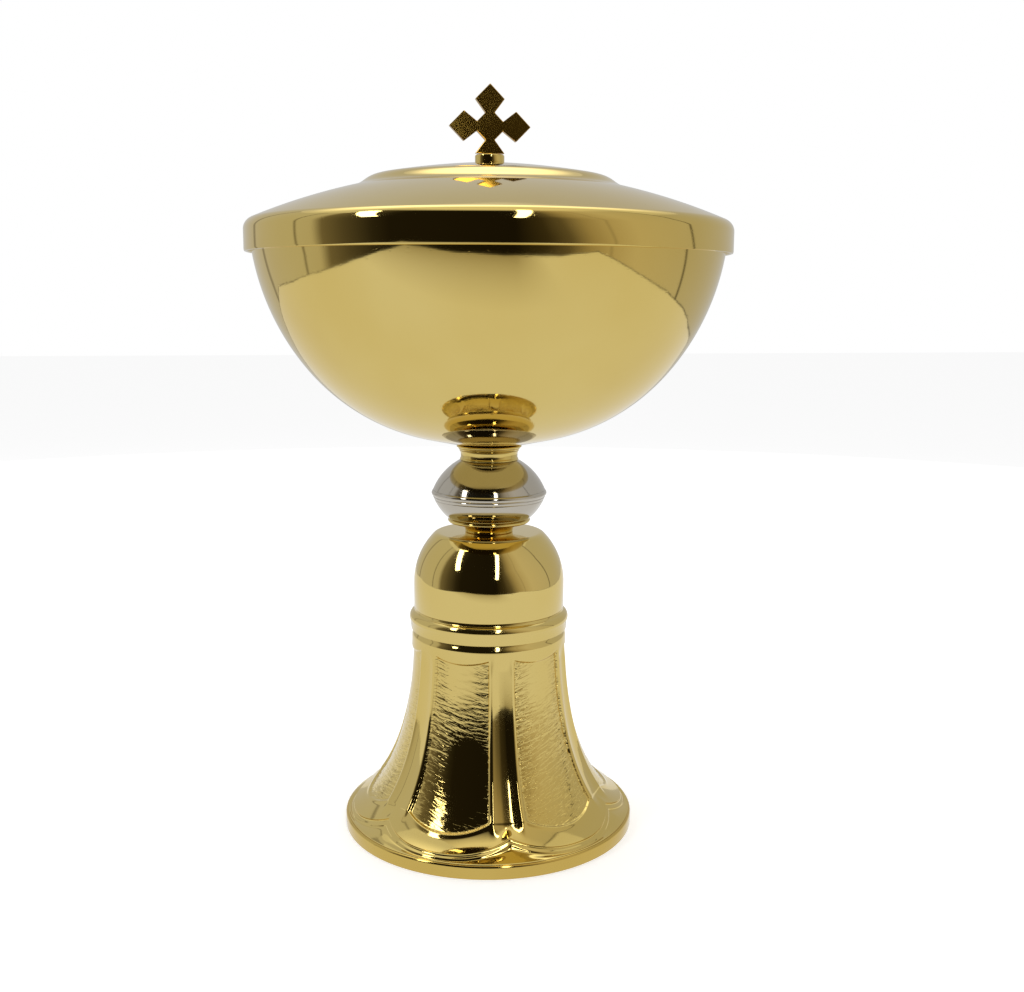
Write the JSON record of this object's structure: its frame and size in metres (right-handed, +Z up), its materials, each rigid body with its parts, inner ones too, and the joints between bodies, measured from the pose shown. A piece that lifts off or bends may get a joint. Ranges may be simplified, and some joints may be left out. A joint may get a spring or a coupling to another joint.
{
  "type": "ciborium",
  "caption": "Covered footed cup: wide spun bowl with a domed lid and small cross finial, on a turned stem with a knop and a lobed bell-shaped foot.",
  "frame": {"origin": "centre of the foot's underside, on the cup's axis, at the table", "axes": "+Z up the cup's axis; -Y is the front, which a rib of the foot and the flat of the cross face; +X to the right seen from the front"},
  "size_m": [0.1424, 0.1424, 0.2241],
  "materials": {
    "gold_plate": "polished pale gold plate on brass",
    "white_metal": "polished nickel plate",
    "steel_fastener": "plain zinc plated steel"
  },
  "bodies": {
    "base": {"foot_base_ring": "gold_plate", "foot_bell": "gold_plate", "foot_bead_ring": "gold_plate", "foot_dome": "gold_plate", "dome_seat_plate": "steel_fastener", "stem_washer": "steel_fastener", "stem_lock_washer": "steel_fastener", "stem_nut": "steel_fastener", "tie_rod": "steel_fastener", "lower_neck": "gold_plate", "knop_lower_shell": "white_metal", "knop_seam_ring": "white_metal", "knop_upper_shell": "white_metal", "knop_spacer_tube": "steel_fastener", "upper_neck": "gold_plate", "bowl_saucer": "gold_plate", "bowl_boss": "gold_plate", "bowl": "gold_plate"},
    "lid_collar": {"lid_locating_ring": "gold_plate"},
    "lid": {"lid_shell": "gold_plate", "finial_ferrule": "gold_plate", "finial_cross": "gold_plate", "finial_stud": "steel_fastener", "finial_washer": "steel_fastener", "finial_nut": "steel_fastener"}
  },
  "joints": [
    {"name": "lid_lift", "type": "slide", "parent": "base", "child": "lid_collar", "axis": [0, 0, 1], "range_m": [0, 0.1]},
    {"name": "lid_turn", "type": "hinge", "parent": "lid_collar", "child": "lid", "pos_m": [0, 0, 0.18], "axis": [0, 0, 1], "continuous": true}
  ]
}
